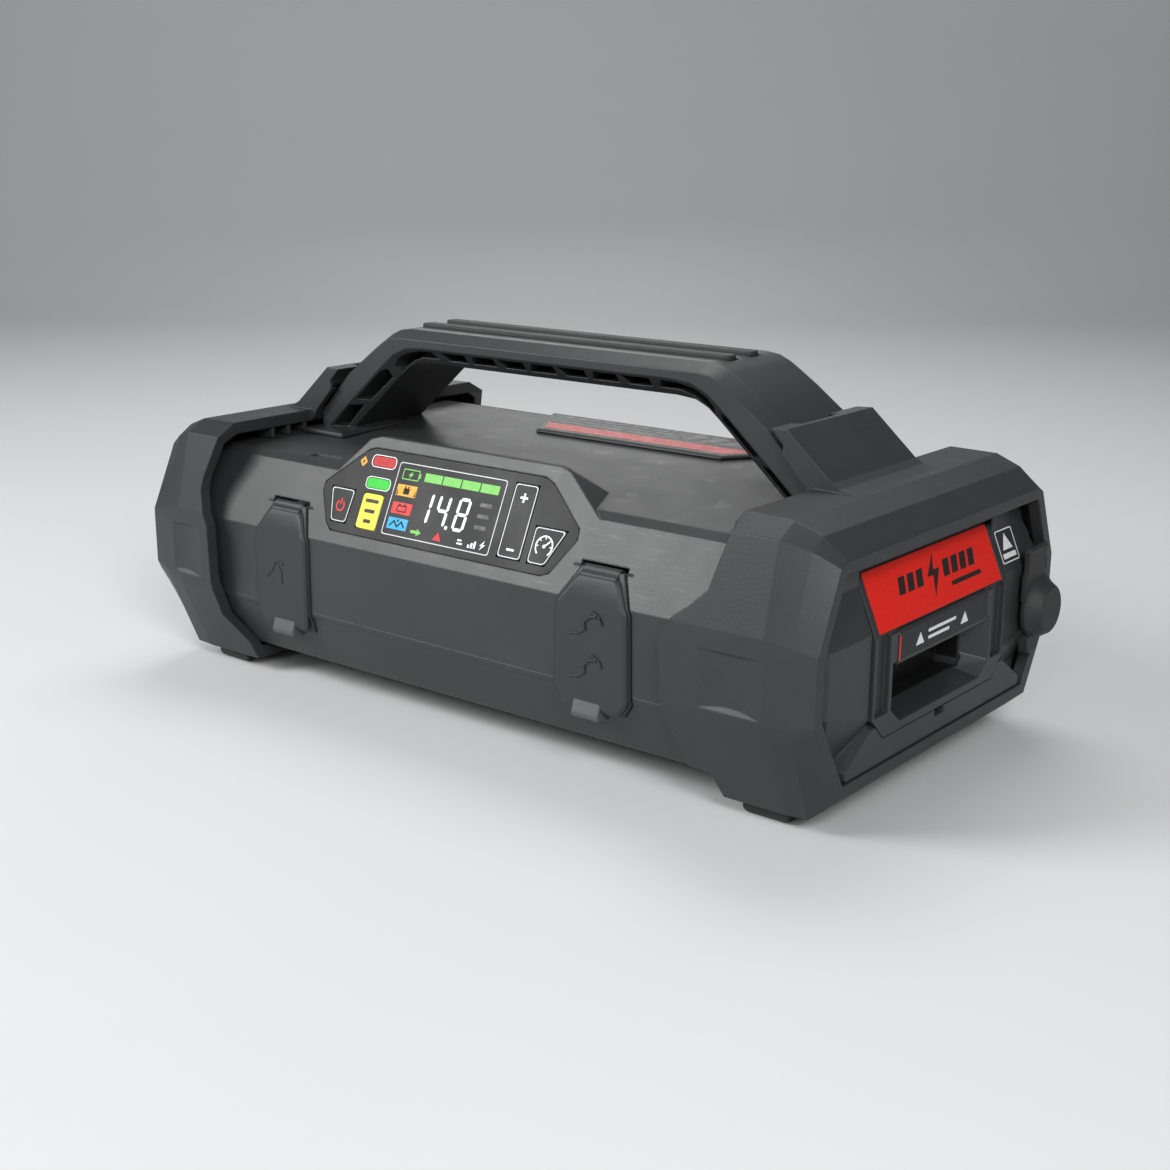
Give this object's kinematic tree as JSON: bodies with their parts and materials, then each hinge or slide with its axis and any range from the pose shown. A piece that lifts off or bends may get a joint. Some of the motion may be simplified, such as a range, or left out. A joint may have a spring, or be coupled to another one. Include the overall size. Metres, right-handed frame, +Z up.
{
  "type": "jump starter pack",
  "caption": "Carry-handled car jump starter and air pump pack with bumpers at both ends, a display panel, flap covers and a slide-out battery module with a pull ring.",
  "frame": {"origin": "on the floor under the middle of the casing", "axes": "+X towards the end with the pull ring, -Y towards the display, +Z up"},
  "size_m": [0.3525, 0.1836, 0.1495],
  "materials": {
    "casing": "satin grey glass-filled nylon, fine grain",
    "bumper": "dark grey textured bumper",
    "dark_plastic": "matte",
    "rubber": "matte",
    "label_red": "satin printed label",
    "label_black": "satin printed label",
    "window": "glossy smoked window",
    "key_yellow": "satin",
    "lamp_red": "lit lens",
    "lamp_green": "lit lens",
    "steel": "brushed",
    "aluminium": "as cast",
    "board": "solder resist",
    "cell": "wrapped foil pouch",
    "nylon": "natural nylon"
  },
  "bodies": {
    "housing": {"upper_shell": "casing", "lower_shell": "casing", "right_bumper": "bumper", "left_bumper": "bumper", "right_end_panel": "casing", "left_end_panel": "casing", "handle_frame": "casing", "grip_strip_front": "rubber", "grip_strip_back": "rubber", "top_label": "label_black", "display_window": "window", "lcd_module": "dark_plastic", "display_board": "board", "red_indicator": "lamp_red", "green_indicator": "lamp_green", "left_port_tray": "dark_plastic", "right_port_tray": "dark_plastic", "clamp_socket": "dark_plastic", "hose_port_upper": "steel", "hose_port_lower": "steel", "end_port_socket": "dark_plastic", "bay_sleeve": "dark_plastic", "bay_contact_positive": "aluminium", "bay_contact_negative": "aluminium", "main_board": "board", "pump_frame": "aluminium", "pump_motor": "steel", "pump_cylinder": "aluminium", "pump_head": "aluminium", "foot_front_left": "rubber", "foot_front_right": "rubber", "foot_back_left": "rubber", "foot_back_right": "rubber", "case_screw_1": "steel", "case_screw_2": "steel", "case_screw_3": "steel", "case_screw_4": "steel"},
    "power_key": {"power_key": "window"},
    "unit_key": {"unit_key": "key_yellow"},
    "pump_key": {"pump_key": "window"},
    "adjust_rocker": {"adjust_rocker": "window"},
    "left_cover": {"left_port_cover": "rubber", "left_cover_pin": "steel"},
    "right_cover": {"right_port_cover": "rubber", "right_cover_pin": "steel"},
    "port_cap": {"end_port_cap": "rubber"},
    "jump_module": {"module_front": "casing", "module_label": "label_red", "module_case_top": "dark_plastic", "module_case_bottom": "dark_plastic", "cell_pack_front": "cell", "cell_pack_back": "cell", "module_board": "board", "pull_ring_pin": "steel"},
    "pull_ring": {"pull_ring": "casing"},
    "lock_bolt": {"lock_bolt": "nylon"},
    "motor_rotor": {"motor_rotor": "steel"},
    "crank": {"crank_gear": "nylon"},
    "connecting_rod": {"connecting_rod": "aluminium"},
    "piston": {"pump_piston": "aluminium"}
  },
  "joints": [
    {"name": "power_key_press", "type": "slide", "parent": "housing", "child": "power_key", "axis": [0, 0.9063, -0.4226], "range_m": [0, 0.0005], "stiffness_N_per_m": 400, "springref_m": -0.0005},
    {"name": "unit_key_press", "type": "slide", "parent": "housing", "child": "unit_key", "axis": [0, 0.9063, -0.4226], "range_m": [0, 0.0005], "stiffness_N_per_m": 400, "springref_m": -0.0005},
    {"name": "pump_key_press", "type": "slide", "parent": "housing", "child": "pump_key", "axis": [0, 0.9063, -0.4226], "range_m": [0, 0.0005], "stiffness_N_per_m": 400, "springref_m": -0.0005},
    {"name": "adjust_rocker_tilt", "type": "hinge", "parent": "housing", "child": "adjust_rocker", "pos_m": [0.02905, -0.06944, 0.08791], "axis": [1, 0, 0], "range_deg": [-1.8, 1.8], "stiffness_Nm_per_rad": 0.5},
    {"name": "left_cover_hinge", "type": "hinge", "parent": "housing", "child": "left_cover", "pos_m": [-0.0926, -0.07717, 0.07915], "axis": [-1, 0, 0], "range_deg": [0, 100]},
    {"name": "right_cover_hinge", "type": "hinge", "parent": "housing", "child": "right_cover", "pos_m": [0.0736, -0.07717, 0.07915], "axis": [-1, 0, 0], "range_deg": [0, 100]},
    {"name": "port_cap_hinge", "type": "hinge", "parent": "housing", "child": "port_cap", "pos_m": [0.1717, 0.0705, 0.074], "axis": [0, -1, 0], "range_deg": [0, 110]},
    {"name": "module_slide", "type": "slide", "parent": "housing", "child": "jump_module", "axis": [1, 0, 0], "range_m": [0, 0.17]},
    {"name": "ring_hinge", "type": "hinge", "parent": "jump_module", "child": "pull_ring", "pos_m": [0.1678, 0, 0.063], "axis": [0, -1, 0], "range_deg": [0, 90]},
    {"name": "lock_bolt_slide", "type": "slide", "parent": "jump_module", "child": "lock_bolt", "axis": [0, 0, 1], "range_m": [0, 0.0026]},
    {"name": "crank_spin", "type": "hinge", "parent": "housing", "child": "crank", "pos_m": [-0.0899, 0, 0.041], "axis": [0, 1, 0], "continuous": true},
    {"name": "motor_spin", "type": "hinge", "parent": "housing", "child": "motor_rotor", "pos_m": [-0.12, 0, 0.041], "axis": [0, 1, 0], "continuous": true},
    {"name": "rod_pivot", "type": "hinge", "parent": "crank", "child": "connecting_rod", "pos_m": [-0.0899, 0.014, 0.036], "axis": [0, 1, 0], "continuous": true},
    {"name": "piston_slide", "type": "slide", "parent": "housing", "child": "piston", "axis": [0, 0, 1], "range_m": [0, 0.01]}
  ],
  "couplings": [
    {"joint": "lock_bolt_slide", "follows": "ring_hinge", "m_per_rad": 0.0016552},
    {"joint": "motor_spin", "follows": "crank_spin", "ratio": -4},
    {"joint": "rod_pivot", "follows": "crank_spin", "ratio": -1}
  ]
}
